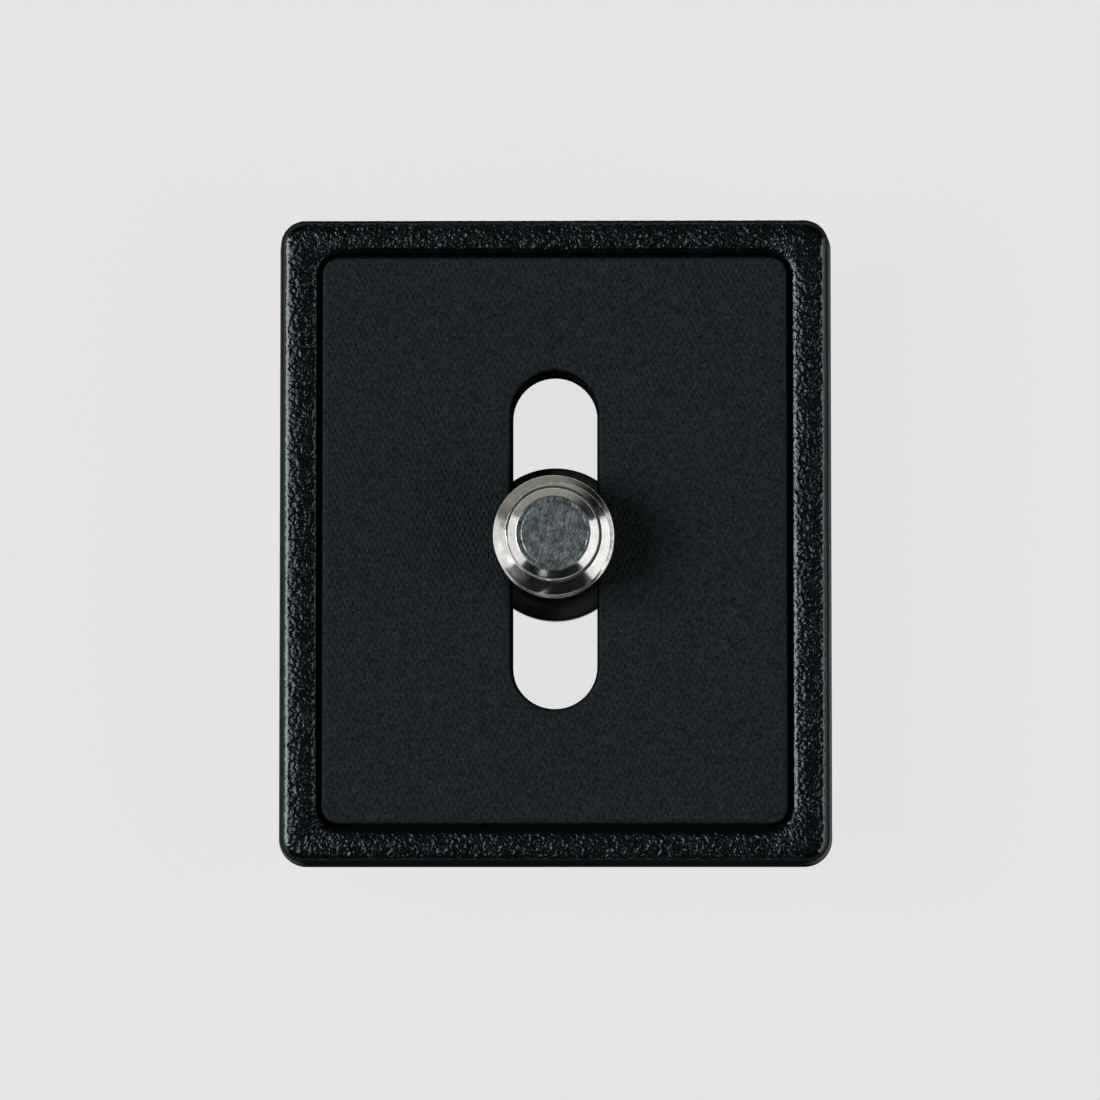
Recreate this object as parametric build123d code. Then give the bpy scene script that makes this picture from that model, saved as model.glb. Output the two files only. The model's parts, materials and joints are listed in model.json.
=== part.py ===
from build123d import *
from math import radians, tan
import os

# Small tripod quick release plate: a moulded plate with a dovetail foot, a bonded rubber pad,
# and a captive camera screw that slides along the plate's slot on a friction washer.
# X runs across the slot, Y along it, Z up. The origin is the centre of the foot's base.
# Lengths are in millimetres and angles in degrees.

# Flange, the rim that shows around the pad
FLANGE_WIDTH = 29.5
FLANGE_LENGTH = 34.5
FLANGE_THICKNESS = 3.6
FLANGE_DRAFT = 2.7
FLANGE_CORNER_RADIUS = 1.5
FLANGE_TOP_RADIUS = 0.6
FLANGE_LOWER_RADIUS = 0.25

# Recess in the top of the flange, which holds the pad
RIM_WIDTH_SIDES = 2.15
RIM_WIDTH_ENDS = 1.95
RECESS_DEPTH = 1.3
RECESS_CORNER_RADIUS = 1.2
RECESS_LIP_RADIUS = 0.32

# Rubber pad
PAD_THICKNESS = 1.6
PAD_GAP = 0.3
PAD_EDGE_RADIUS = 0.18
PAD_SLOT_MARGIN = 0.1

# Slot for the screw's shank, and the tapped hole that the screw was driven in through
SLOT_WIDTH = 4.5
SLOT_LENGTH = 17.8
ASSEMBLY_HOLE_DIAMETER = 5.1

# Dovetail foot
FOOT_HEIGHT = 5.0
FLANGE_OVERHANG_SIDES = 1.25
FLANGE_OVERHANG_ENDS = 1.95
DOVETAIL_UNDERCUT = 2.2
FOOT_LAND_HEIGHT = 1.2
FOOT_CORNER_RADIUS = 1.2
FOOT_EDGE_CHAMFER = 0.4
NECK_RADIUS = 0.3

# Hollow underside
FLOOR_THICKNESS = 1.8
SIDE_WALL_THICKNESS = 1.6
END_WALL_THICKNESS = 1.8
CAVITY_DRAFT = 1.0
CAVITY_CORNER_RADIUS = 1.5
CAVITY_FILLET = 0.5
BOSS_HEIGHT = 0.6
BOSS_MARGIN = 0.6
RIB_THICKNESS = 1.0
RIB_HEIGHT = 1.4
RIB_PITCH = 6.0
RIB_COUNT = 3

# Camera screw, with the thread as a plain cylinder of its major diameter
THREAD_DIAMETER = 6.35
THREAD_PROJECTION = 5.0
THREAD_ROOT_DIAMETER = 4.9
THREAD_LEAD_ANGLE = 35
NOSE_DIAMETER = 4.8
NOSE_LENGTH = 0.7
TIP_DIAMETER = 3.9
TIP_BEVEL_ANGLE = 38
HEAD_DIAMETER = 8.0
HEAD_HEIGHT = 2.8
HEAD_CHAMFER = 0.35
COIN_SLOT_WIDTH = 1.5
COIN_SLOT_DEPTH = 1.4

# Friction washer
WASHER_DIAMETER = 8.2
WASHER_THICKNESS = 0.8
WASHER_CHAMFER = 0.12

# Clearances
RUNNING_GAP = 0.05
SHANK_SLOT_CLEARANCE = 0.15
WASHER_BORE_CLEARANCE = 0.1
THREAD_PAD_GAP = 0.25

# Heights worked out from the sizes above
RIM_TOP = FOOT_HEIGHT + FLANGE_THICKNESS
RECESS_FLOOR = RIM_TOP - RECESS_DEPTH
PAD_TOP = RECESS_FLOOR + PAD_THICKNESS
CAVITY_TOP = RECESS_FLOOR - FLOOR_THICKNESS
BEARING_FACE = CAVITY_TOP - BOSS_HEIGHT
WASHER_TOP = BEARING_FACE - RUNNING_GAP
WASHER_BOTTOM = WASHER_TOP - WASHER_THICKNESS
HEAD_TOP = WASHER_BOTTOM - RUNNING_GAP
HEAD_BOTTOM = HEAD_TOP - HEAD_HEIGHT
THREAD_BOTTOM = PAD_TOP + THREAD_PAD_GAP
SCREW_TIP = PAD_TOP + THREAD_PROJECTION
NOSE_FOOT = SCREW_TIP - NOSE_LENGTH

# Plan sizes worked out from the sizes above
RECESS_WIDTH = FLANGE_WIDTH - 2 * RIM_WIDTH_SIDES
RECESS_LENGTH = FLANGE_LENGTH - 2 * RIM_WIDTH_ENDS
FOOT_BASE_WIDTH = FLANGE_WIDTH - 2 * FLANGE_OVERHANG_SIDES
FOOT_NECK_WIDTH = FOOT_BASE_WIDTH - 2 * DOVETAIL_UNDERCUT
FOOT_LENGTH = FLANGE_LENGTH - 2 * FLANGE_OVERHANG_ENDS
CAVITY_WIDTH = FOOT_NECK_WIDTH - 2 * SIDE_WALL_THICKNESS
CAVITY_LENGTH = FOOT_LENGTH - 2 * END_WALL_THICKNESS
SLOT_CENTRES = SLOT_LENGTH - SLOT_WIDTH
SHANK_DIAMETER = SLOT_WIDTH - 2 * SHANK_SLOT_CLEARANCE
BOSS_WIDTH = WASHER_DIAMETER + 2 * BOSS_MARGIN


def stadium(width):
    """A full-round outline along Y: what a disc of this width sweeps as it slides along the slot."""
    return SlotCenterToCenter(SLOT_CENTRES, width, rotation=90)


def raised(sketch, height):
    """The sketch lifted to a height above the base."""
    return Pos(0, 0, height) * sketch


def flange():
    """Drafted slab with a rounded rim, widest at its lower edge."""
    outline = RectangleRounded(FLANGE_WIDTH, FLANGE_LENGTH, FLANGE_CORNER_RADIUS)
    slab = extrude(raised(outline, FOOT_HEIGHT), FLANGE_THICKNESS, taper=FLANGE_DRAFT)
    slab = fillet(slab.faces().sort_by(Axis.Z)[-1].edges(), FLANGE_TOP_RADIUS)
    slab = fillet(slab.faces().sort_by(Axis.Z)[0].edges(), FLANGE_LOWER_RADIUS)
    recess_outline = RectangleRounded(RECESS_WIDTH, RECESS_LENGTH, RECESS_CORNER_RADIUS)
    slab -= extrude(raised(recess_outline, RECESS_FLOOR), RECESS_DEPTH)
    rim = slab.faces().filter_by(Plane.XY).sort_by(Axis.Z)[-1]
    return fillet(rim.inner_wires().edges(), RECESS_LIP_RADIUS)


def foot():
    """Dovetail block: an upright land at the base, then sides that slope in to the neck."""
    base = RectangleRounded(FOOT_BASE_WIDTH, FOOT_LENGTH, FOOT_CORNER_RADIUS)
    neck = RectangleRounded(FOOT_NECK_WIDTH, FOOT_LENGTH, FOOT_CORNER_RADIUS)
    land = extrude(base, FOOT_LAND_HEIGHT)
    land = chamfer(land.faces().sort_by(Axis.Z)[0].edges(), FOOT_EDGE_CHAMFER)
    return land + loft([raised(base, FOOT_LAND_HEIGHT), raised(neck, FOOT_HEIGHT)])


def cavity():
    """The hollow of the underside, with draft and a rounded ceiling edge."""
    mouth = RectangleRounded(CAVITY_WIDTH, CAVITY_LENGTH, CAVITY_CORNER_RADIUS)
    hollow = extrude(mouth, CAVITY_TOP, taper=CAVITY_DRAFT)
    return fillet(hollow.faces().sort_by(Axis.Z)[-1].edges(), CAVITY_FILLET)


def ribs():
    """Low cross ribs under the floor, each with its ends inside the side walls."""
    rib = Box(FOOT_NECK_WIDTH - SIDE_WALL_THICKNESS, RIB_THICKNESS, RIB_HEIGHT,
              align=(Align.CENTER, Align.CENTER, Align.MAX))
    places = GridLocations(0, RIB_PITCH, 1, RIB_COUNT)
    return [Pos(0, 0, CAVITY_TOP) * place * rib for place in places]


def slot_boss():
    """Raised pad around the slot that the washer bears on."""
    return extrude(raised(stadium(BOSS_WIDTH), BEARING_FACE), BOSS_HEIGHT)


def plate_body():
    """Flange and foot in one moulding, hollow below, with the boss, ribs and slot."""
    washer_track = extrude(stadium(BOSS_WIDTH), BEARING_FACE)
    slot = extrude(stadium(SLOT_WIDTH), RIM_TOP)
    assembly_hole = extrude(Circle(ASSEMBLY_HOLE_DIAMETER / 2), RIM_TOP)
    body = flange() + foot()
    level_faces = body.faces().filter_by(Plane.XY)
    underside = level_faces.sort_by(lambda face: abs(face.center().Z - FOOT_HEIGHT))[0]
    body = fillet(underside.inner_wires().edges(), NECK_RADIUS)
    body -= cavity()
    body += ribs()
    body += slot_boss()
    return body - washer_track - slot - assembly_hole


def grip_pad():
    """Flat rubber pad bonded in the recess and standing just proud of the rim."""
    outline = RectangleRounded(RECESS_WIDTH - 2 * PAD_GAP, RECESS_LENGTH - 2 * PAD_GAP,
                               RECESS_CORNER_RADIUS - PAD_GAP)
    outline -= stadium(SLOT_WIDTH + 2 * PAD_SLOT_MARGIN)
    pad = extrude(raised(outline, RECESS_FLOOR), PAD_THICKNESS)
    return fillet(pad.faces().sort_by(Axis.Z)[-1].edges(), PAD_EDGE_RADIUS)


def friction_washer():
    """Plain ring between the screw's head and the boss."""
    ring = Circle(WASHER_DIAMETER / 2) - Circle(SHANK_DIAMETER / 2 + WASHER_BORE_CLEARANCE)
    washer = extrude(raised(ring, WASHER_BOTTOM), WASHER_THICKNESS)
    outer_edges = washer.edges().filter_by(GeomType.CIRCLE).group_by(SortBy.RADIUS)[-1]
    return chamfer(outer_edges, WASHER_CHAMFER)


def camera_screw():
    """Turned screw: coin-slot head, narrow shank in the slot, thread, and a short bevelled nose."""
    head_radius = HEAD_DIAMETER / 2
    shank_radius = SHANK_DIAMETER / 2
    root_radius = THREAD_ROOT_DIAMETER / 2
    thread_radius = THREAD_DIAMETER / 2
    nose_radius = NOSE_DIAMETER / 2
    tip_radius = TIP_DIAMETER / 2
    lead_height = (thread_radius - nose_radius) * tan(radians(THREAD_LEAD_ANGLE))
    bevel_height = (nose_radius - tip_radius) * tan(radians(TIP_BEVEL_ANGLE))
    half_section = Polyline(
        (0, HEAD_BOTTOM),
        (head_radius - HEAD_CHAMFER, HEAD_BOTTOM),
        (head_radius, HEAD_BOTTOM + HEAD_CHAMFER),
        (head_radius, HEAD_TOP - HEAD_CHAMFER),
        (head_radius - HEAD_CHAMFER, HEAD_TOP),
        (shank_radius, HEAD_TOP),
        (shank_radius, THREAD_BOTTOM),
        (root_radius, THREAD_BOTTOM),
        (thread_radius, THREAD_BOTTOM + thread_radius - root_radius),
        (thread_radius, NOSE_FOOT - lead_height),
        (nose_radius, NOSE_FOOT),
        (nose_radius, SCREW_TIP - bevel_height),
        (tip_radius, SCREW_TIP),
        (0, SCREW_TIP),
        close=True,
    )
    turned = revolve(Plane.XZ * make_face(half_section), Axis.Z)
    coin_slot = Box(HEAD_DIAMETER, COIN_SLOT_WIDTH, COIN_SLOT_DEPTH,
                    align=(Align.CENTER, Align.CENTER, Align.MIN))
    return turned - Pos(0, 0, HEAD_BOTTOM) * coin_slot


os.makedirs("parts", exist_ok=True)
export_step(plate_body(), "parts/plate_body.step")
export_step(grip_pad(), "parts/grip_pad.step")
export_step(friction_washer(), "parts/friction_washer.step")
export_step(camera_screw(), "parts/camera_screw.step")
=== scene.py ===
import json
import math
import random
from collections import namedtuple

import bmesh
import bpy
import numpy as np
from mathutils import Matrix, Vector, geometry, noise

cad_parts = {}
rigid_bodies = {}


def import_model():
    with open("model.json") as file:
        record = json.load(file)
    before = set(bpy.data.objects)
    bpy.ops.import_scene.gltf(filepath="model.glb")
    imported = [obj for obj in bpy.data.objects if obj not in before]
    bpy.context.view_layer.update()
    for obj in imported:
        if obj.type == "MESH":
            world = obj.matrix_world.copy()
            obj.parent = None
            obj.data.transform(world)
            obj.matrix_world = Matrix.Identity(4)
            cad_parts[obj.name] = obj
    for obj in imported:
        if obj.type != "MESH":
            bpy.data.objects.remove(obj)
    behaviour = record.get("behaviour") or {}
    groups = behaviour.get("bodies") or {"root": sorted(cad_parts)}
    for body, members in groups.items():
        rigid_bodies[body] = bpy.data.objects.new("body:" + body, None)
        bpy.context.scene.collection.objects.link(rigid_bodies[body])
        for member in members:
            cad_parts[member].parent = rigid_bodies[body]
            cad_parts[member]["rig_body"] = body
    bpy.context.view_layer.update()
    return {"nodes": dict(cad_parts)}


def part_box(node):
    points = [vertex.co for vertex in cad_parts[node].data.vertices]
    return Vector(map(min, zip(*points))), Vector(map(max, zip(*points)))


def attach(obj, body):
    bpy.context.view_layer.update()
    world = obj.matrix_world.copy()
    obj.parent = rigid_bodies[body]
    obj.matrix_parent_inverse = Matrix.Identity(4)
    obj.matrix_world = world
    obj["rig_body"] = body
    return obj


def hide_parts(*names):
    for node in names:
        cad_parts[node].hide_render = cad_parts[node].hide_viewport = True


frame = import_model()

# A small tripod quick release plate: the moulded plate's grained rim, the hatched rubber pad,
# the threaded camera screw and its washer, each built over its solid.
# X runs across the slot, Y along it and Z up. Sizes are in millimetres until a mesh is made.
MM = 0.001
RIGHT_ANGLE = 90
QUARTER_TURN = math.radians(RIGHT_ANGLE)

# Plate: the sizes of its solid
FLANGE_WIDTH = 29.5
FLANGE_LENGTH = 34.5
FLANGE_BOTTOM = 5.0
FLANGE_DRAFT = math.radians(2.7)
FLANGE_CORNER_RADIUS = 1.5
FLANGE_TOP_RADIUS = 0.6
FLANGE_LOWER_RADIUS = 0.25
RIM_WIDTH_SIDES = 2.15
RIM_WIDTH_ENDS = 1.95
RIM_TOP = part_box("plate_body")[1].z / MM
RECESS_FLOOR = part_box("grip_pad")[0].z / MM
RECESS_CORNER_RADIUS = 1.2
INSIDE_HALF_WIDTH = 10.5
INSIDE_HALF_LENGTH = 14.3

# Plate: mesh steps along the rim and across it
RIM_STEPS = {"corner": 76, "end": 368, "side": 455}
LIP_STEPS = 4
LIP_BEVEL_STEPS = 3
FLAT_STEPS = 20
OUTER_STEPS = 10
WALL_STEPS = 7
LOWER_STEPS = 2

# Plate: moulded grain, cut inward from the solid's surface, and its share on each part of the rim
GRAIN_CELL = 0.24
GRAIN_DEPTH = 0.1
GRAIN_MEAN = 0.6
GRAIN_BUMP_REACH = 0.7
GRAIN_SAND_SHARE = 0.6
GRAIN_SEED = 7
GRAIN_ON_LIP = 0.42
GRAIN_ON_FLAT = 1.0
GRAIN_ON_OUTER = 0.24
GRAIN_ON_END_ROUND = 1.15
END_ROUND_WIDTH = 0.75
END_GRAIN_TO = math.radians(58)
GRAIN_ON_WALL = 0.22

# Plate: the lip of the recess and the crown of the rim
LIP_RADIUS = 0.16
LIP_BEVEL_WIDTH = 0.13
LIP_BEVEL_ANGLE = math.radians(18)
RIM_CROWN_ANGLE = math.radians(13)
RIM_CROWN = 0.07

# Plate: the tilts over which gloss gives way to matt, how matt the other parts are, and a painted sheen:
# walls facing the side lights are kept a little glossy so that they show lighter than the ends
MATT_FROM = math.radians(35)
MATT_TO = math.radians(49)
PAINTED_SIDE_SHEEN = 0.13
FOOT_MATT = 0.55
SLOT_MATT_REACH = 2.6

# Pad: the sizes of its solid, and the diamond hatch moulded into its top
PAD_HALF_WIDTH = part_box("grip_pad")[1].x / MM
PAD_HALF_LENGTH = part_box("grip_pad")[1].y / MM
PAD_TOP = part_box("grip_pad")[1].z / MM
PAD_CORNER_RADIUS = 0.9
PAD_EDGE_RADIUS = 0.18
PAD_SLOT_WIDTH = 4.7
SLOT_CENTRES = 13.3
HATCH_MARGIN = 0.19
DIAMONDS_ACROSS = 86
DIAMONDS_ALONG = 53
HATCH_WIDTH = 2 * (PAD_HALF_WIDTH - HATCH_MARGIN) / DIAMONDS_ACROSS
HATCH_LENGTH = 2 * (PAD_HALF_LENGTH - HATCH_MARGIN) / DIAMONDS_ALONG
HATCH_DEPTH = 0.036
PAD_STEPS = {"corner": 10, "end": 60, "side": 74}
PAD_EDGE_STEPS = 5
PAD_SHINY_LOOPS = 3
SLOT_ARC_STEPS = 40
SLOT_SIDE_STEPS = 34

# Screw: a right-hand thread of a quarter inch, twenty turns to the inch
THREAD_PITCH = 1.27
THREAD_RADIUS = 3.175
THREAD_ROOT_RADIUS = 2.42
THREAD_CREST_WIDTH = THREAD_PITCH / 8
THREAD_FLANK_SLOPE = math.tan(math.radians(60))
THREAD_START = math.radians(-110)
THREAD_BOTTOM = 9.15
THREAD_BOTTOM_RADIUS = 2.45
THREAD_LEAD_ANGLE = math.radians(35)
NOSE_RADIUS = 2.4
NOSE_LENGTH = 0.7
TIP_RADIUS = 1.95
TIP_BEVEL_ANGLE = 38
SCREW_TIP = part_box("camera_screw")[1].z / MM
NOSE_FOOT = SCREW_TIP - NOSE_LENGTH
GROOVE_WIDTH = 0.12
GROOVE_DEPTH = 0.3
TIP_EDGE_RADIUS = 0.09
TIP_EDGE_STEPS = 4
TIP_RING_RADIUS = 1.72
TIP_RING_WIDTH = 0.16
TIP_RING_DEPTH = 0.016
SCREW_SEGMENTS = 216
THREAD_ROW = 0.024

# Washer: the sizes of its solid
WASHER_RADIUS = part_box("friction_washer")[1].x / MM
WASHER_BORE_RADIUS = 2.2
WASHER_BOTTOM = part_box("friction_washer")[0].z / MM
WASHER_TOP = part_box("friction_washer")[1].z / MM
WASHER_EDGE_RADIUS = 0.12
WASHER_EDGE_STEPS = 4
WASHER_SEGMENTS = 180

# Edges that turn more than this, in degrees, are shaded sharp
MOULDED_SHARP = 40
HEAD_SHARP = 25
THREAD_SHARP = 62

# Two points of a mesh closer than this are one point, and a triangle smaller than this is none
SAME_POINT = 0.0005
SAME_FLAT_POINT = SAME_POINT / 10
LEAST_AREA = 0.000001

# Camera, in millimetres and degrees: nearly overhead, leaning a little towards -Y and +X
PICTURE_WIDTH_PX = 1100
SENSOR_WIDTH = 36.0
CAMERA_DISTANCE = 350.0
CAMERA_LEAN_X = 0.85
CAMERA_LEAN_Y = 3.72
CAMERA_SCALE_PX = 18.72
PLATE_MIDDLE_PX = (555.4, 544.1)

# Lights, in metres, with the floor and the surroundings. The cards are dim lights low beside the plate.
LIGHTS = {
    "softbox_left": {"place": (-1.2, 0.0), "base": 0.85, "width": 1.0, "height": 1.67, "radiance": 7.7},
    "card_left": {"place": (-1.2, -0.15), "base": 0.004, "width": 1.65, "height": 0.71, "radiance": 0.86},
    "softbox_right": {"place": (1.2, -0.2), "base": 0.85, "width": 1.4, "height": 0.65, "radiance": 3.2},
    "card_right": {"place": (1.2, -0.25), "base": 0.004, "width": 1.7, "height": 0.71, "radiance": 1.08},
    "card_front": {"place": (-0.33, -1.15), "base": 0.3, "width": 0.22, "height": 0.3, "radiance": 0.5},
}
FLOOR_SIZE = 5.0
FLOOR_DROP = 0.00002
PALE_GREY = 0.8
FLOOR_SHADOWLESS_SHARE = 0.94
WALL_DIRECTION = (-0.29, 0.957, 0.0)
WALL_BEIGE = (0.29, 0.281, 0.242)
CEILING_GLOW = (0.038, 0.055, 0.06)
ROOM_DARK = (0.007, 0.008, 0.0085)
WALL_EDGE = (0.5, 0.8)
WALL_TOP = (0.4, 0.6)
CEILING_EDGE = (0.86, 0.97)

# Materials: a noise mostly lies in this range, and its sizes and relief are in millimetres
NOISE_LOW = 0.3
NOISE_HIGH = 0.7

# Plastic: glossy where smooth, a little less where grained, and matt on the walls
PLASTIC_DARK = (0.0008, 0.0014, 0.0018)
PLASTIC_PALE = (0.0022, 0.0033, 0.004)
PLASTIC_MATT = (0.0075, 0.0085, 0.009)
PLASTIC_SHEEN_TINT = (0.8, 0.94, 1.0)
PLASTIC_SPECULAR = {"smooth": 0.54, "grained": 0.4}
PLASTIC_ROUGHNESS = {"smooth": 0.15, "grained": (0.2, 0.3), "matt": 0.6}
PLASTIC_NOISE = {"tone": 1.6, "gloss": 0.5, "relief": 0.075}
PLASTIC_RELIEF = 0.014
SMOOTH_RELIEF_SHARE = 0.12
GRAINED_RANGE = (0.3, 0.9)

# Rubber: mottled, with specks of dust
RUBBER_DARK = (0.0008, 0.0042, 0.0058)
RUBBER_PALE = (0.0195, 0.027, 0.03)
RUBBER_DUST = (0.06, 0.062, 0.066)
RUBBER_SPECULAR = 0.12
RUBBER_ROUGHNESS = (0.58, 0.74)
RUBBER_NOISE = {"tone": 0.18, "gloss": 0.6, "relief": 0.07}
RUBBER_RELIEF = 0.006
DUST_SPACING = 0.8
DUST_EDGE = (0.02, 0.09)

# Nylon
NYLON_DARK = (0.003, 0.003, 0.0034)
NYLON_PALE = (0.006, 0.006, 0.0066)
NYLON_ROUGHNESS = (0.32, 0.46)
NYLON_NOISE = {"tone": 0.8, "relief": 0.12}
NYLON_RELIEF = 0.004

# Nickel, and its scuffed end with strokes drawn slantwise
NICKEL_DARK = (0.72, 0.71, 0.69)
NICKEL_PALE = (0.86, 0.85, 0.83)
NICKEL_ROUGHNESS = (0.12, 0.19)
NICKEL_NOISE = {"tone": 0.5, "relief": 0.45}
NICKEL_RELIEF = 0.005
SCUFF_DARK = (0.27, 0.31, 0.32)
SCUFF_PALE = (0.82, 0.85, 0.86)
SCUFF_TONE_RANGE = (0.34, 0.66)
SCUFF_ROUGHNESS = (0.36, 0.2)
SCUFF_NOISE = {"tone": 0.36, "strokes": 0.24}
SCUFF_RELIEF = 0.009
STROKE_TURN = math.radians(-28)
STROKE_STRETCH = (0.4, 1, 1)

# A row of points along the rim, with its grain along the sides and at the ends, how matt it is,
# and how much of that gives way to painted sheen where it faces sideways, towards the side lights
RimRow = namedtuple("RimRow", ["points", "grain", "end_grain", "matt", "polish"])


def rounded_loop(half_x, half_y, radius, height, steps):
    """Points round a rounded rectangle. Loops with the same steps have matching columns."""
    points = []
    straights = (steps["end"], steps["side"], steps["end"], steps["side"])
    centres = [(sx * (half_x - radius), sy * (half_y - radius))
               for sx, sy in ((1, 1), (-1, 1), (-1, -1), (1, -1))]
    for quarter, (centre_x, centre_y) in enumerate(centres):
        for step in range(steps["corner"]):
            angle = QUARTER_TURN * (quarter + step / steps["corner"])
            points.append(Vector((centre_x + radius * math.cos(angle),
                                  centre_y + radius * math.sin(angle), height)))
        turn = QUARTER_TURN * (quarter + 1)
        offset = Vector((radius * math.cos(turn), radius * math.sin(turn), height))
        first = Vector((centre_x, centre_y, 0)) + offset
        last = Vector((*centres[(quarter + 1) % 4], 0)) + offset
        points += [first.lerp(last, step / straights[quarter]) for step in range(straights[quarter])]
    return points


def slot_loop(width, height):
    """Points round a full-round slot along Y."""
    radius = width / 2
    half = SLOT_CENTRES / 2
    points = []
    for end in (1, -1):
        for step in range(SLOT_ARC_STEPS):
            angle = math.pi * step / SLOT_ARC_STEPS
            points.append(Vector((end * radius * math.cos(angle),
                                  end * (half + radius * math.sin(angle)), height)))
        first = Vector((-end * radius, end * half, height))
        last = Vector((-end * radius, -end * half, height))
        points += [first.lerp(last, step / SLOT_SIDE_STEPS) for step in range(SLOT_SIDE_STEPS)]
    return points


def ring_loop(radius_at, height, segments):
    """Points round the Z axis at one height, with the radius given for each angle."""
    points = []
    for step in range(segments):
        angle = 2 * math.pi * step / segments
        radius = radius_at(angle)
        points.append(Vector((radius * math.cos(angle), radius * math.sin(angle), height)))
    return points


def add_loop(bm, points):
    """Mesh points for a loop given in millimetres."""
    return [bm.verts.new(point * MM) for point in points]


def bridge(bm, lower, upper):
    """Four-sided faces between two loops with matching columns."""
    faces = []
    for step in range(len(lower)):
        after = (step + 1) % len(lower)
        faces.append(bm.faces.new((lower[step], lower[after], upper[after], upper[step])))
    return faces


def bridge_all(bm, loops):
    """Faces between each loop and the next, all smooth."""
    for lower, upper in zip(loops, loops[1:]):
        for face in bridge(bm, lower, upper):
            face.smooth = True


def is_between(point, starts, ends):
    """Whether a flat point lies between the outlines: a line from it crosses an odd number of edges."""
    above_start = starts[:, 1] > point[1]
    above_end = ends[:, 1] > point[1]
    passed = above_start != above_end
    first = starts[passed]
    last = ends[passed]
    share = (point[1] - first[:, 1]) / (last[:, 1] - first[:, 1])
    crossings = first[:, 0] + share * (last[:, 0] - first[:, 0])
    return np.count_nonzero(crossings > point[0]) % 2 == 1


def fill_level(bm, height):
    """Flat faces between all the open edges that lie at one height."""
    level = height * MM
    near = SAME_POINT * MM
    edges = [edge for edge in bm.edges
             if len(edge.link_faces) < 2 and all(abs(vert.co.z - level) < near for vert in edge.verts)]
    verts = sorted({vert for edge in edges for vert in edge.verts}, key=lambda vert: vert.index)
    place = {vert: position for position, vert in enumerate(verts)}
    flat = [vert.co.xy / MM for vert in verts]
    links = [(place[edge.verts[0]], place[edge.verts[1]]) for edge in edges]
    starts = np.array([flat[first] for first, last in links])
    ends = np.array([flat[last] for first, last in links])
    whole_hull = 0
    made = geometry.delaunay_2d_cdt(flat, links, [], whole_hull, SAME_FLAT_POINT)
    triangles = made[2]
    sources = made[3]
    for triangle in triangles:
        corners = [sources[corner][0] for corner in triangle]
        places = [flat[corner] for corner in corners]
        middle = sum(places, Vector((0, 0))) / len(places)
        if geometry.area_tri(*places) > LEAST_AREA and is_between(middle, starts, ends):
            face = bm.faces.new([verts[corner] for corner in corners])
            face.smooth = True


def cad_copy(node):
    """A welded copy of a node's mesh."""
    bm = bmesh.new()
    bm.from_mesh(frame["nodes"][node].data)
    bmesh.ops.remove_doubles(bm, verts=bm.verts, dist=SAME_POINT * MM)
    for face in bm.faces:
        face.smooth = True
        face.material_index = 0
    return bm


def cut_away(bm, is_outside):
    """Deletes the faces that lie wholly where the test says."""
    gone = [face for face in bm.faces if all(is_outside(vert.co / MM) for vert in face.verts)]
    bmesh.ops.delete(bm, geom=gone, context="FACES")


def finish_piece(bm, name, node, materials):
    """Turns the mesh into a piece that rides on the node's body and stands for the node."""
    bm.normal_update()
    bmesh.ops.recalc_face_normals(bm, faces=bm.faces)
    mesh = bpy.data.meshes.new(name)
    bm.to_mesh(mesh)
    bm.free()
    for material in materials:
        mesh.materials.append(material)
    piece = bpy.data.objects.new(name, mesh)
    bpy.context.scene.collection.objects.link(piece)
    even = piece.modifiers.new("even_shading", "WEIGHTED_NORMAL")
    even.keep_sharp = True
    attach(piece, frame["nodes"][node]["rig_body"])
    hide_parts(node)


def mark_sharp(bm, least_degrees):
    """Sharp shading at every edge that turns more than this."""
    for edge in bm.edges:
        if len(edge.link_faces) == 2 and edge.calc_face_angle(0.0) > math.radians(least_degrees):
            edge.smooth = False


def spread(first, last, steps):
    """The loops between two loops, at even spacing."""
    return [[a.lerp(b, step / steps) for a, b in zip(first, last)] for step in range(1, steps)]


def rim_loop(half_x, half_y, radius, height):
    """Points round the rim in columns square to it, beside the straight runs of the recess."""
    straight_x = FLANGE_WIDTH / 2 - RIM_WIDTH_SIDES - RECESS_CORNER_RADIUS
    straight_y = FLANGE_LENGTH / 2 - RIM_WIDTH_ENDS - RECESS_CORNER_RADIUS
    runs = (half_y - radius - straight_y, half_x - radius - straight_x)
    straights = (2 * straight_x, 2 * straight_y)
    counts = (RIM_STEPS["end"], RIM_STEPS["side"])
    signs = ((1, 1), (-1, 1), (-1, -1), (1, -1))
    arc = radius * QUARTER_TURN
    points = []
    for quarter, (sign_x, sign_y) in enumerate(signs):
        turn = QUARTER_TURN * quarter
        outward = Vector((math.cos(turn), math.sin(turn), 0))
        along = Vector((-math.sin(turn), math.cos(turn), 0))
        centre = Vector((sign_x * (half_x - radius), sign_y * (half_y - radius), height))
        before = runs[quarter % 2]
        after = runs[(quarter + 1) % 2]
        for step in range(RIM_STEPS["corner"]):
            way = (before + arc + after) * step / RIM_STEPS["corner"]
            angle = min(max(way - before, 0), arc) / radius
            past = min(way - before, 0) * along - max(way - before - arc, 0) * outward
            points.append(centre + radius * (math.cos(angle) * outward + math.sin(angle) * along) + past)
        first = centre + radius * along - after * outward
        count = counts[quarter % 2]
        points += [first - outward * (straights[quarter % 2] * step / count) for step in range(count)]
    return points


def inset_loop(inset, height):
    """The flange's outline drawn in by an inset."""
    return rim_loop(FLANGE_WIDTH / 2 - inset, FLANGE_LENGTH / 2 - inset,
                    FLANGE_CORNER_RADIUS - inset, height)


def recess_loop(outset, height):
    """The recess's outline moved out by an outset."""
    return rim_loop(FLANGE_WIDTH / 2 - RIM_WIDTH_SIDES + outset,
                    FLANGE_LENGTH / 2 - RIM_WIDTH_ENDS + outset,
                    RECESS_CORNER_RADIUS + outset, height)


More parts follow.
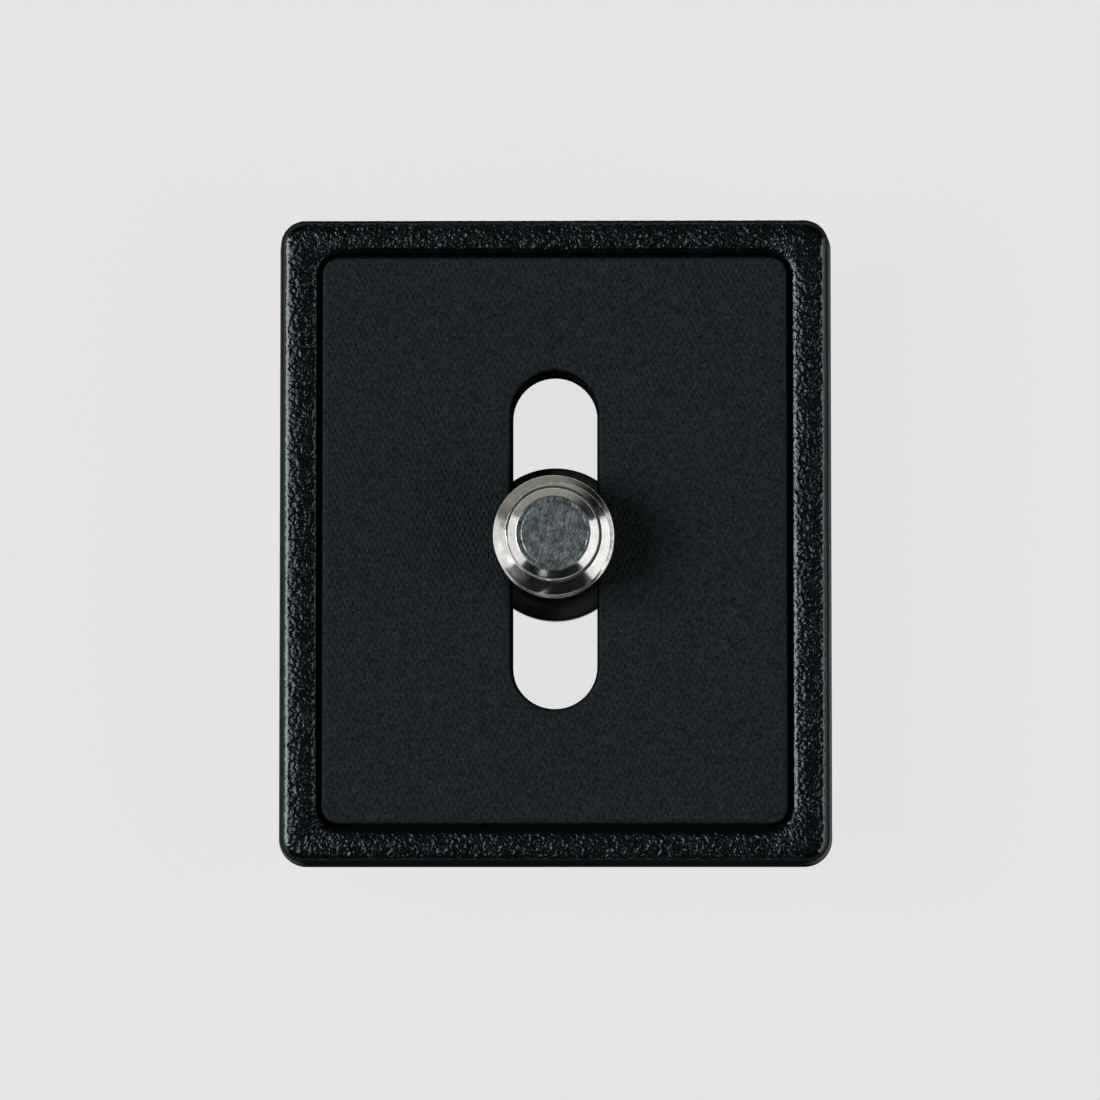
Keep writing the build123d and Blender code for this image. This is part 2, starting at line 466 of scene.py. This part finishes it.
def wall_round(radius, centre_height, angle):
    """Inset and height of a point on a round that touches the drafted wall, by its angle from up."""
    wall_inset = (centre_height - FLANGE_BOTTOM) * math.tan(FLANGE_DRAFT)
    centre_inset = wall_inset + radius / math.cos(FLANGE_DRAFT)
    return centre_inset - radius * math.sin(angle), centre_height + radius * math.cos(angle)


def round_top(radius, angle, end_height):
    """Height of the top of a round of this radius that meets a slope at an angle and a height."""
    return end_height + radius * (1 - math.cos(angle))


def mattness(tilt):
    """How matt the moulding is at a tilt from level: glossy on top, matt down its sides."""
    return min(1.0, max(0.0, (tilt - MATT_FROM) / (MATT_TO - MATT_FROM)))


def end_grain(tilt):
    """Grain on the round at the plate's ends by its tilt: as on the rim at the top, smooth further down."""
    share = min(1.0, max(0.0, (END_GRAIN_TO - tilt) / (END_GRAIN_TO - RIM_CROWN_ANGLE)))
    return GRAIN_ON_OUTER + (GRAIN_ON_END_ROUND - GRAIN_ON_OUTER) * math.sqrt(share)


def rim_rows():
    """Rows over the rim from the recess's floor to the flange's underside."""
    wall_angle = QUARTER_TURN - FLANGE_DRAFT
    lip_tilts = [QUARTER_TURN + (LIP_BEVEL_ANGLE - QUARTER_TURN) * step / LIP_STEPS
                 for step in range(LIP_STEPS + 1)]
    outer_tilts = [RIM_CROWN_ANGLE + (wall_angle - RIM_CROWN_ANGLE) * step / OUTER_STEPS
                   for step in range(OUTER_STEPS + 1)]
    lower_tilts = [wall_angle + (math.pi - wall_angle) * step / LOWER_STEPS
                   for step in range(LOWER_STEPS + 1)]
    crown_end = RIM_TOP - RIM_CROWN
    wall_outset = -GRAIN_DEPTH * GRAIN_MEAN
    bevel_foot = crown_end - LIP_BEVEL_WIDTH * math.tan(LIP_BEVEL_ANGLE)
    lip_top = round_top(LIP_RADIUS, LIP_BEVEL_ANGLE, bevel_foot)
    lip = [recess_loop(wall_outset + LIP_RADIUS * (1 - math.sin(tilt)),
                       lip_top - LIP_RADIUS * (1 - math.cos(tilt))) for tilt in lip_tilts]
    bevel_outset = wall_outset + LIP_RADIUS * (1 - math.sin(LIP_BEVEL_ANGLE)) + LIP_BEVEL_WIDTH
    bevel_end = recess_loop(bevel_outset, crown_end)
    bevel = spread(lip[-1], bevel_end, LIP_BEVEL_STEPS) + [bevel_end]
    outer_centre = round_top(FLANGE_TOP_RADIUS, RIM_CROWN_ANGLE, crown_end) - FLANGE_TOP_RADIUS
    outer = [inset_loop(*wall_round(FLANGE_TOP_RADIUS, outer_centre, tilt)) for tilt in outer_tilts]
    lower = [inset_loop(*wall_round(FLANGE_LOWER_RADIUS, FLANGE_BOTTOM + FLANGE_LOWER_RADIUS, tilt))
             for tilt in lower_tilts]
    flat = spread(bevel_end, outer[0], FLAT_STEPS)
    for step, loop in enumerate(flat):
        from_middle = 2 * (step + 1) / FLAT_STEPS - 1
        for point in loop:
            point.z = RIM_TOP - RIM_CROWN * from_middle ** 2
    wall = spread(outer[-1], lower[0], WALL_STEPS)
    rows = [RimRow(recess_loop(0, RECESS_FLOOR), None, None, 1, 0)]
    rows += [RimRow(loop, GRAIN_ON_LIP, GRAIN_ON_LIP, mattness(tilt), 0)
             for loop, tilt in zip(lip, lip_tilts)]
    rows += [RimRow(loop, GRAIN_ON_LIP, GRAIN_ON_LIP, 0, 0) for loop in bevel]
    rows += [RimRow(loop, GRAIN_ON_FLAT, GRAIN_ON_FLAT, 0, 0) for loop in flat]
    rows += [RimRow(loop, GRAIN_ON_OUTER, end_grain(tilt), mattness(tilt), PAINTED_SIDE_SHEEN)
             for loop, tilt in zip(outer, outer_tilts)]
    rows += [RimRow(loop, GRAIN_ON_WALL, GRAIN_ON_WALL, 1, PAINTED_SIDE_SHEEN) for loop in wall]
    rows += [RimRow(loop, None, None, 1, PAINTED_SIDE_SHEEN) for loop in lower]
    return rows


def grain_depth(point, share, chance):
    """Depth of the moulded grain in millimetres: low round bumps under a coarse sand."""
    distances = noise.voronoi(point / GRAIN_CELL)[0]
    bump = max(0.0, 1 - (distances[0] / GRAIN_BUMP_REACH) ** 2)
    depth = 1 - (1 - GRAIN_SAND_SHARE) * bump - GRAIN_SAND_SHARE * chance.random()
    return GRAIN_DEPTH * (GRAIN_MEAN + share * (depth - GRAIN_MEAN))


def on_end(point):
    """Whether a point of the rim lies at the outside of the near or far end, between the corners."""
    between_corners = abs(point.x) < FLANGE_WIDTH / 2 - FLANGE_CORNER_RADIUS
    return between_corners and abs(point.y) > FLANGE_LENGTH / 2 - END_ROUND_WIDTH


def in_flange(point):
    """Whether a point of the plate belongs to the flange, outside the hollow foot."""
    if point.z > RECESS_FLOOR - SAME_POINT:
        return True
    beside_foot = abs(point.x) > INSIDE_HALF_WIDTH or abs(point.y) > INSIDE_HALF_LENGTH
    return beside_foot and point.z > FLANGE_BOTTOM - SAME_POINT


def from_slot_line(point):
    """Distance of a point, seen from above, to the line along the middle of the slot."""
    return math.hypot(point[0], max(0.0, abs(point[1]) - SLOT_CENTRES / 2))


def plate_piece(material):
    """The moulded plate: the foot and hollow of the solid, under a flange with a grained rim."""
    bm = cad_copy("plate_body")
    grain_share = bm.verts.layers.float.new("grain_share")
    matt_share = bm.verts.layers.float.new("matt_share")
    cut_away(bm, in_flange)
    for vert in bm.verts:
        vert[matt_share] = 1 if from_slot_line(vert.co / MM) < SLOT_MATT_REACH else FOOT_MATT
    rows = rim_rows()
    loops = [add_loop(bm, row.points) for row in rows]
    bridge_all(bm, loops)
    bm.verts.index_update()
    fill_level(bm, RECESS_FLOOR)
    fill_level(bm, FLANGE_BOTTOM)
    bmesh.ops.recalc_face_normals(bm, faces=bm.faces)
    mark_sharp(bm, MOULDED_SHARP)
    bm.normal_update()
    chance = random.Random(GRAIN_SEED)
    for loop, row in zip(loops, rows):
        for vert in loop:
            # Painted sheen: walls and rounds facing ±X are made less matt, so they show lighter where the
            # side lights fall, while the ends stay matt and dark
            vert[matt_share] = row.matt * (1 - row.polish * vert.normal.x ** 2)
            if row.grain is not None:
                share = row.end_grain if on_end(vert.co / MM) else row.grain
                vert[grain_share] = share
                vert.co -= vert.normal * (grain_depth(vert.co / MM, share, chance) * MM)
    squares = [face for face in bm.faces if len(face.verts) == 4]
    bmesh.ops.triangulate(bm, faces=squares, quad_method="SHORT_EDGE")
    finish_piece(bm, "plate_moulding", "plate_body", [material])


def on_pad(x, y, margin):
    """Whether a point lies on the pad, at least a margin from its outline and from its slot."""
    side = PAD_HALF_WIDTH - margin
    end = PAD_HALF_LENGTH - margin
    radius = PAD_CORNER_RADIUS - margin
    past_x = abs(x) - (side - radius)
    past_y = abs(y) - (end - radius)
    if past_x > 0 and past_y > 0 and math.hypot(past_x, past_y) > radius:
        return False
    past_slot = from_slot_line((x, y)) > PAD_SLOT_WIDTH / 2 + margin
    return abs(x) < side and abs(y) < end and past_slot


def add_hatch(bm):
    """Low pyramids on a diamond lattice, wherever a whole diamond fits inside the pad's margin."""
    half_width = HATCH_WIDTH / 2
    half_length = HATCH_LENGTH / 2
    corners = {}
    columns = math.ceil(2 * PAD_HALF_WIDTH / HATCH_WIDTH)
    lines = math.ceil(2 * PAD_HALF_LENGTH / HATCH_LENGTH)

    def corner(column, line):
        if (column, line) not in corners:
            place = Vector((column * half_width, line * half_length, PAD_TOP - HATCH_DEPTH))
            corners[column, line] = bm.verts.new(place * MM)
        return corners[column, line]

    for column in range(-columns, columns + 1):
        for line in range(-lines, lines + 1):
            if (column + line) % 2:
                continue
            around = [(column + 1, line), (column, line + 1), (column - 1, line), (column, line - 1)]
            if all(on_pad(a * half_width, b * half_length, HATCH_MARGIN - SAME_POINT) for a, b in around):
                apex = bm.verts.new(Vector((column * half_width, line * half_length, PAD_TOP)) * MM)
                ring = [corner(a, b) for a, b in around]
                for first, last in zip(ring, ring[1:] + ring[:1]):
                    bm.faces.new((first, last, apex))


def pad_edge(loop_at):
    """Loops down one edge of the pad: a small round at the top, then the upright side."""
    top = PAD_TOP - HATCH_DEPTH
    loops = []
    for step in range(PAD_EDGE_STEPS + 1):
        angle = QUARTER_TURN * step / PAD_EDGE_STEPS
        drawn_in = PAD_EDGE_RADIUS * (1 - math.sin(angle))
        loops.append(loop_at(drawn_in, top - PAD_EDGE_RADIUS * (1 - math.cos(angle))))
    loops.append(loop_at(0, RECESS_FLOOR))
    return loops


def pad_piece(material):
    """The rubber pad with its hatched top, rounded edges and slot."""
    bm = bmesh.new()
    matt_share = bm.verts.layers.float.new("matt_share")
    add_hatch(bm)

    def outline_at(drawn_in, height):
        return rounded_loop(PAD_HALF_WIDTH - drawn_in, PAD_HALF_LENGTH - drawn_in,
                            PAD_CORNER_RADIUS - drawn_in, height, PAD_STEPS)

    def slot_at(drawn_in, height):
        return slot_loop(PAD_SLOT_WIDTH + 2 * drawn_in, height)

    for loop_at in (outline_at, slot_at):
        loops = [add_loop(bm, points) for points in pad_edge(loop_at)]
        bridge_all(bm, loops)
        for loop in loops[PAD_SHINY_LOOPS:]:
            for vert in loop:
                vert[matt_share] = 1
    bm.verts.index_update()
    fill_level(bm, PAD_TOP - HATCH_DEPTH)
    fill_level(bm, RECESS_FLOOR)
    mark_sharp(bm, MOULDED_SHARP)
    finish_piece(bm, "hatched_pad", "grip_pad", [material])


def thread_limit(height):
    """The solid's radius at a height of the thread, with its lower chamfer and its lead."""
    lower = THREAD_BOTTOM_RADIUS + height - THREAD_BOTTOM
    lead = NOSE_RADIUS + (NOSE_FOOT - height) / math.tan(THREAD_LEAD_ANGLE)
    return min(THREAD_RADIUS, lower, lead)


def thread_radius(angle, height):
    """Radius of the right-hand thread at an angle and a height."""
    turn = (height - NOSE_FOOT) / THREAD_PITCH - (angle - THREAD_START) / (2 * math.pi)
    from_crest = abs(turn % 1.0 - 0.5) * THREAD_PITCH
    drop = max(0.0, from_crest - THREAD_CREST_WIDTH / 2) * THREAD_FLANK_SLOPE
    return min(thread_limit(height), max(THREAD_ROOT_RADIUS, THREAD_RADIUS - drop))


def groove_edge():
    """Height at which the lead stops, at the outer edge of the groove round the nose."""
    return NOSE_FOOT - GROOVE_WIDTH * math.tan(THREAD_LEAD_ANGLE)


def nose_profile():
    """Radius and height from the groove at the foot of the nose to the edge of the flat tip."""
    groove_floor = groove_edge() - GROOVE_DEPTH
    bevel_foot = SCREW_TIP - (NOSE_RADIUS - TIP_RADIUS) * math.tan(math.radians(TIP_BEVEL_ANGLE))
    bevel_faces = RIGHT_ANGLE - TIP_BEVEL_ANGLE
    points = [(NOSE_RADIUS, groove_floor)]
    corners = [((NOSE_RADIUS, bevel_foot), 0, bevel_faces),
               ((TIP_RADIUS, SCREW_TIP), bevel_faces, RIGHT_ANGLE)]
    for (radius, height), start, end in corners:
        half_turn = math.radians(end - start) / 2
        reach = TIP_EDGE_RADIUS / math.cos(half_turn)
        facing = math.radians(start + end) / 2
        centre = (radius - reach * math.cos(facing), height - reach * math.sin(facing))
        for step in range(TIP_EDGE_STEPS + 1):
            angle = math.radians(start + (end - start) * step / TIP_EDGE_STEPS)
            points.append((centre[0] + TIP_EDGE_RADIUS * math.cos(angle),
                           centre[1] + TIP_EDGE_RADIUS * math.sin(angle)))
    return points


def tip_ring():
    """Radius and height across the shallow ring turned in the flat tip."""
    half = TIP_RING_WIDTH / 2
    return [(TIP_RING_RADIUS + half, SCREW_TIP), (TIP_RING_RADIUS, SCREW_TIP - TIP_RING_DEPTH),
            (TIP_RING_RADIUS - half, SCREW_TIP)]


def screw_piece(metal, end_metal):
    """The camera screw: the solid's head and shank, with a cut thread and a bevelled nose."""
    bm = cad_copy("camera_screw")
    cut_away(bm, lambda point: point.z > THREAD_BOTTOM - SAME_POINT)
    mark_sharp(bm, HEAD_SHARP)
    threaded = groove_edge() - THREAD_BOTTOM
    count = round(threaded / THREAD_ROW)
    heights = [THREAD_BOTTOM + threaded * row / count for row in range(count + 1)]
    loops = [add_loop(bm, ring_loop(lambda angle, z=z: thread_radius(angle, z), z, SCREW_SEGMENTS))
             for z in heights]
    rings = nose_profile() + tip_ring()
    loops += [add_loop(bm, ring_loop(lambda angle, r=r: r, z, SCREW_SEGMENTS)) for r, z in rings]
    bridge_all(bm, loops)
    bm.verts.index_update()
    fill_level(bm, THREAD_BOTTOM)
    mark_sharp(bm, THREAD_SHARP)
    bm.faces.new(loops[-1])
    end_foot = (SCREW_TIP - 2 * TIP_RING_DEPTH) * MM
    for face in bm.faces:
        if all(vert.co.z > end_foot for vert in face.verts):
            face.material_index = 1
    finish_piece(bm, "threaded_screw", "camera_screw", [metal, end_metal])


def washer_piece(material):
    """The washer, with its outer edges rounded."""
    inner = WASHER_RADIUS - WASHER_EDGE_RADIUS
    section = [(WASHER_BORE_RADIUS, WASHER_BOTTOM)]
    rounds = ((WASHER_BOTTOM + WASHER_EDGE_RADIUS, -RIGHT_ANGLE), (WASHER_TOP - WASHER_EDGE_RADIUS, 0))
    for height, first in rounds:
        for step in range(WASHER_EDGE_STEPS + 1):
            angle = math.radians(first + RIGHT_ANGLE * step / WASHER_EDGE_STEPS)
            section.append((inner + WASHER_EDGE_RADIUS * math.cos(angle),
                            height + WASHER_EDGE_RADIUS * math.sin(angle)))
    section.append((WASHER_BORE_RADIUS, WASHER_TOP))
    bm = bmesh.new()
    loops = [add_loop(bm, ring_loop(lambda angle, r=r: r, z, WASHER_SEGMENTS)) for r, z in section]
    bridge_all(bm, loops + [loops[0]])
    mark_sharp(bm, MOULDED_SHARP)
    finish_piece(bm, "washer_ring", "friction_washer", [material])


def new_material(name):
    """An empty node material: its node tree and its shader."""
    material = bpy.data.materials.new(name)
    material.use_nodes = True
    return material, material.node_tree, material.node_tree.nodes["Principled BSDF"]


def add_node(tree, kind, **inputs):
    """A node with values or links on its inputs."""
    made = tree.nodes.new(kind)
    for name, value in inputs.items():
        socket = made.inputs[name.replace("_", " ")]
        if isinstance(value, bpy.types.NodeSocket):
            tree.links.new(value, socket)
        else:
            socket.default_value = value
    return made


def own_place(tree):
    """The surface point's place in the object's own frame, in metres."""
    return add_node(tree, "ShaderNodeTexCoord").outputs["Object"]


def noise_value(tree, place, size_mm, detail=2.0):
    """A soft noise from 0 to 1 with features of about this size."""
    made = add_node(tree, "ShaderNodeTexNoise", Vector=place, Scale=1 / (size_mm * MM), Detail=detail)
    return made.outputs["Fac"]


def between(tree, value, low, high, from_low=NOISE_LOW, from_high=NOISE_HIGH):
    """Maps a value to a range, from where a noise mostly lies unless another range is given."""
    made = add_node(tree, "ShaderNodeMapRange", Value=value)
    made.inputs["From Min"].default_value = from_low
    made.inputs["From Max"].default_value = from_high
    made.inputs["To Min"].default_value = low
    made.inputs["To Max"].default_value = high
    return made.outputs["Result"]


def colour_between(tree, value, low, high):
    """Mixes two colours, written or linked, by a value from 0 to 1."""
    made = tree.nodes.new("ShaderNodeMix")
    made.data_type = "RGBA"
    tree.links.new(value, made.inputs["Factor"])
    for name, colour in (("A", low), ("B", high)):
        if isinstance(colour, bpy.types.NodeSocket):
            tree.links.new(colour, made.inputs[name])
        else:
            made.inputs[name].default_value = (*colour, 1)
    return made.outputs["Result"]


def add_bump(tree, shader, height, depth_mm, strength=1.0):
    """Fine relief of a given depth."""
    made = add_node(tree, "ShaderNodeBump", Height=height, Strength=strength, Distance=depth_mm * MM)
    tree.links.new(made.outputs["Normal"], shader.inputs["Normal"])


def math_value(tree, operation, first, second):
    """One value made from two, each written or linked."""
    made = tree.nodes.new("ShaderNodeMath")
    made.operation = operation
    for socket, value in zip(made.inputs, (first, second)):
        if isinstance(value, bpy.types.NodeSocket):
            tree.links.new(value, socket)
        else:
            socket.default_value = value
    return made.outputs[0]


def mesh_value(tree, name):
    """A value stored at the points of the mesh."""
    made = tree.nodes.new("ShaderNodeAttribute")
    made.attribute_name = name
    return made.outputs["Fac"]


def plastic_material():
    """Black moulded plastic: glossy grain on the rim with fine relief, matt sides."""
    material, tree, shader = new_material("moulded_plastic")
    place = own_place(tree)
    tone = between(tree, noise_value(tree, place, PLASTIC_NOISE["tone"]), 0, 1)
    colour = colour_between(tree, tone, PLASTIC_DARK, PLASTIC_PALE)
    matt = mesh_value(tree, "matt_share")
    tree.links.new(colour_between(tree, matt, colour, PLASTIC_MATT), shader.inputs["Base Color"])
    shader.inputs["Specular Tint"].default_value = (*PLASTIC_SHEEN_TINT, 1)
    grained = between(tree, mesh_value(tree, "grain_share"), 0, 1, *GRAINED_RANGE)
    specular = between(tree, grained, PLASTIC_SPECULAR["smooth"], PLASTIC_SPECULAR["grained"], 0, 1)
    shine = add_node(tree, "ShaderNodeMapRange", Value=matt, To_Min=specular, To_Max=0)
    tree.links.new(shine.outputs["Result"], shader.inputs["Specular IOR Level"])
    uneven = between(tree, noise_value(tree, place, PLASTIC_NOISE["gloss"]), *PLASTIC_ROUGHNESS["grained"])
    gloss = add_node(tree, "ShaderNodeMapRange", Value=grained, To_Max=uneven,
                     To_Min=PLASTIC_ROUGHNESS["smooth"])
    rough = add_node(tree, "ShaderNodeMapRange", Value=matt, To_Min=gloss.outputs["Result"],
                     To_Max=PLASTIC_ROUGHNESS["matt"])
    tree.links.new(rough.outputs["Result"], shader.inputs["Roughness"])
    relief = between(tree, grained, SMOOTH_RELIEF_SHARE, 1, 0, 1)
    grit = noise_value(tree, place, PLASTIC_NOISE["relief"], detail=1.0)
    add_bump(tree, shader, grit, PLASTIC_RELIEF, relief)
    return material


def rubber_material():
    """Matt black rubber with a faint blue-green cast, mottled and a little dusty."""
    material, tree, shader = new_material("hatched_rubber")
    place = own_place(tree)
    tone = between(tree, noise_value(tree, place, RUBBER_NOISE["tone"], detail=4.0), 0, 1)
    colour = colour_between(tree, tone, RUBBER_DARK, RUBBER_PALE)
    cells = add_node(tree, "ShaderNodeTexVoronoi", Vector=place, Scale=1 / (DUST_SPACING * MM))
    speck = between(tree, cells.outputs["Distance"], 1, 0, *DUST_EDGE)
    tree.links.new(colour_between(tree, speck, colour, RUBBER_DUST), shader.inputs["Base Color"])
    matt = mesh_value(tree, "matt_share")
    tree.links.new(between(tree, matt, RUBBER_SPECULAR, 0, 0, 1), shader.inputs["Specular IOR Level"])
    uneven = noise_value(tree, place, RUBBER_NOISE["gloss"])
    tree.links.new(between(tree, uneven, *RUBBER_ROUGHNESS), shader.inputs["Roughness"])
    add_bump(tree, shader, noise_value(tree, place, RUBBER_NOISE["relief"]), RUBBER_RELIEF)
    return material


def nylon_material():
    """Plain black nylon with a soft uneven sheen."""
    material, tree, shader = new_material("black_nylon")
    place = own_place(tree)
    tone = noise_value(tree, place, NYLON_NOISE["tone"], detail=3.0)
    colour = colour_between(tree, between(tree, tone, 0, 1), NYLON_DARK, NYLON_PALE)
    tree.links.new(colour, shader.inputs["Base Color"])
    tree.links.new(between(tree, tone, *NYLON_ROUGHNESS), shader.inputs["Roughness"])
    add_bump(tree, shader, noise_value(tree, place, NYLON_NOISE["relief"]), NYLON_RELIEF)
    return material


def nickel_material():
    """Bright nickel plate over turned steel, with slight changes of tone and gloss."""
    material, tree, shader = new_material("bright_nickel")
    place = own_place(tree)
    shader.inputs["Metallic"].default_value = 1.0
    tone = noise_value(tree, place, NICKEL_NOISE["tone"], detail=4.0)
    colour = colour_between(tree, between(tree, tone, 0, 1), NICKEL_DARK, NICKEL_PALE)
    tree.links.new(colour, shader.inputs["Base Color"])
    tree.links.new(between(tree, tone, *NICKEL_ROUGHNESS), shader.inputs["Roughness"])
    add_bump(tree, shader, noise_value(tree, place, NICKEL_NOISE["relief"], detail=3.0), NICKEL_RELIEF)
    return material


def scuffed_nickel_material():
    """The screw's flat end: nickel rubbed dull, with blotches and short drawn strokes."""
    material, tree, shader = new_material("scuffed_nickel")
    place = own_place(tree)
    shader.inputs["Metallic"].default_value = 1.0
    blotches = noise_value(tree, place, SCUFF_NOISE["tone"], detail=6.0)
    tone = between(tree, blotches, 0, 1, *SCUFF_TONE_RANGE)
    tree.links.new(colour_between(tree, tone, SCUFF_DARK, SCUFF_PALE), shader.inputs["Base Color"])
    drawn = add_node(tree, "ShaderNodeMapping", Vector=place)
    drawn.vector_type = "TEXTURE"
    drawn.inputs["Rotation"].default_value = (0, 0, STROKE_TURN)
    drawn.inputs["Scale"].default_value = STROKE_STRETCH
    strokes = noise_value(tree, drawn.outputs["Vector"], SCUFF_NOISE["strokes"], detail=3.0)
    tree.links.new(between(tree, strokes, *SCUFF_ROUGHNESS), shader.inputs["Roughness"])
    add_bump(tree, shader, strokes, SCUFF_RELIEF)
    return material


def floor_material():
    """Pale floor, lit like the rest but kept even where it is looked at."""
    material = bpy.data.materials.new("pale_floor")
    material.use_nodes = True
    tree = material.node_tree
    tree.nodes.clear()
    lit = add_node(tree, "ShaderNodeBsdfDiffuse", Color=(PALE_GREY, PALE_GREY, PALE_GREY, 1))
    even = add_node(tree, "ShaderNodeEmission", Color=(PALE_GREY, PALE_GREY, PALE_GREY, 1))
    path = add_node(tree, "ShaderNodeLightPath")
    seen = math_value(tree, "MAXIMUM", path.outputs["Is Camera Ray"], path.outputs["Is Glossy Ray"])
    seen_any = math_value(tree, "MAXIMUM", seen, path.outputs["Is Transmission Ray"])
    share = math_value(tree, "MULTIPLY", seen_any, FLOOR_SHADOWLESS_SHARE)
    mixed = tree.nodes.new("ShaderNodeMixShader")
    tree.links.new(share, mixed.inputs[0])
    tree.links.new(lit.outputs[0], mixed.inputs[1])
    tree.links.new(even.outputs[0], mixed.inputs[2])
    output = tree.nodes.new("ShaderNodeOutputMaterial")
    tree.links.new(mixed.outputs[0], output.inputs["Surface"])
    return material


def make_floor():
    """A wide pale floor that the plate lies on."""
    half = FLOOR_SIZE / 2
    mesh = bpy.data.meshes.new("floor")
    corners = [(-half, -half, -FLOOR_DROP), (half, -half, -FLOOR_DROP),
               (half, half, -FLOOR_DROP), (-half, half, -FLOOR_DROP)]
    mesh.from_pydata(corners, [], [(0, 1, 2, 3)])
    mesh.materials.append(floor_material())
    floor = bpy.data.objects.new("floor", mesh)
    bpy.context.scene.collection.objects.link(floor)


def make_softbox(name, place, base, width, height, radiance):
    """An upright soft light beside the plate, facing it."""
    lamp = bpy.data.lights.new(name, "AREA")
    lamp.shape = "RECTANGLE"
    lamp.size = width
    lamp.size_y = height
    lamp.energy = radiance * math.pi * width * height
    softbox = bpy.data.objects.new(name, lamp)
    softbox.location = (*place, base + height / 2)
    softbox.rotation_euler = Vector((*place, 0)).to_track_quat("Z", "Y").to_euler()
    softbox.visible_camera = False
    bpy.context.scene.collection.objects.link(softbox)


def make_world():
    """Dim surroundings: a beige wall beyond the far end and a faint glow overhead."""
    world = bpy.data.worlds.new("studio")
    bpy.context.scene.world = world
    world.use_nodes = True
    tree = world.node_tree
    direction = add_node(tree, "ShaderNodeTexCoord").outputs["Generated"]
    height = add_node(tree, "ShaderNodeSeparateXYZ", Vector=direction).outputs["Z"]
    towards_wall = tree.nodes.new("ShaderNodeVectorMath")
    towards_wall.operation = "DOT_PRODUCT"
    tree.links.new(direction, towards_wall.inputs[0])
    towards_wall.inputs[1].default_value = WALL_DIRECTION
    beyond_end = between(tree, towards_wall.outputs["Value"], 0, 1, *WALL_EDGE)
    wall_share = math_value(tree, "MULTIPLY", beyond_end, between(tree, height, 1, 0, *WALL_TOP))
    room = colour_between(tree, wall_share, ROOM_DARK, WALL_BEIGE)
    lit = colour_between(tree, between(tree, height, 0, 1, *CEILING_EDGE), room, CEILING_GLOW)
    tree.links.new(lit, tree.nodes["Background"].inputs["Color"])


def make_camera():
    """The picture's camera: its lean, its distance and where the plate's middle lands in the picture."""
    lean_x = math.sin(math.radians(CAMERA_LEAN_X))
    lean_y = -math.sin(math.radians(CAMERA_LEAN_Y))
    back = Vector((lean_x, lean_y, math.sqrt(1 - lean_x ** 2 - lean_y ** 2)))
    up = (Vector((0, 1, 0)) - back * back.y).normalized()
    turn = Matrix((up.cross(back), up, back)).transposed()
    middle_px = PICTURE_WIDTH_PX / 2
    right_mm = (middle_px - PLATE_MIDDLE_PX[0]) / CAMERA_SCALE_PX
    up_mm = (PLATE_MIDDLE_PX[1] - middle_px) / CAMERA_SCALE_PX
    aim = Vector((0, 0, FLANGE_BOTTOM + FLANGE_LOWER_RADIUS)) + turn @ Vector((right_mm, up_mm, 0))
    lens = bpy.data.cameras.new("camera")
    lens.sensor_width = SENSOR_WIDTH
    lens.lens = CAMERA_SCALE_PX * CAMERA_DISTANCE * SENSOR_WIDTH / PICTURE_WIDTH_PX
    camera = bpy.data.objects.new("camera", lens)
    camera.location = (aim + back * CAMERA_DISTANCE) * MM
    camera.rotation_euler = turn.to_euler()
    bpy.context.scene.collection.objects.link(camera)
    bpy.context.scene.camera = camera


plate_piece(plastic_material())
pad_piece(rubber_material())
washer_piece(nylon_material())
screw_piece(nickel_material(), scuffed_nickel_material())
make_floor()
for light_name, light in LIGHTS.items():
    make_softbox(light_name, **light)
make_world()
make_camera()
bpy.context.scene.view_settings.view_transform = "Standard"
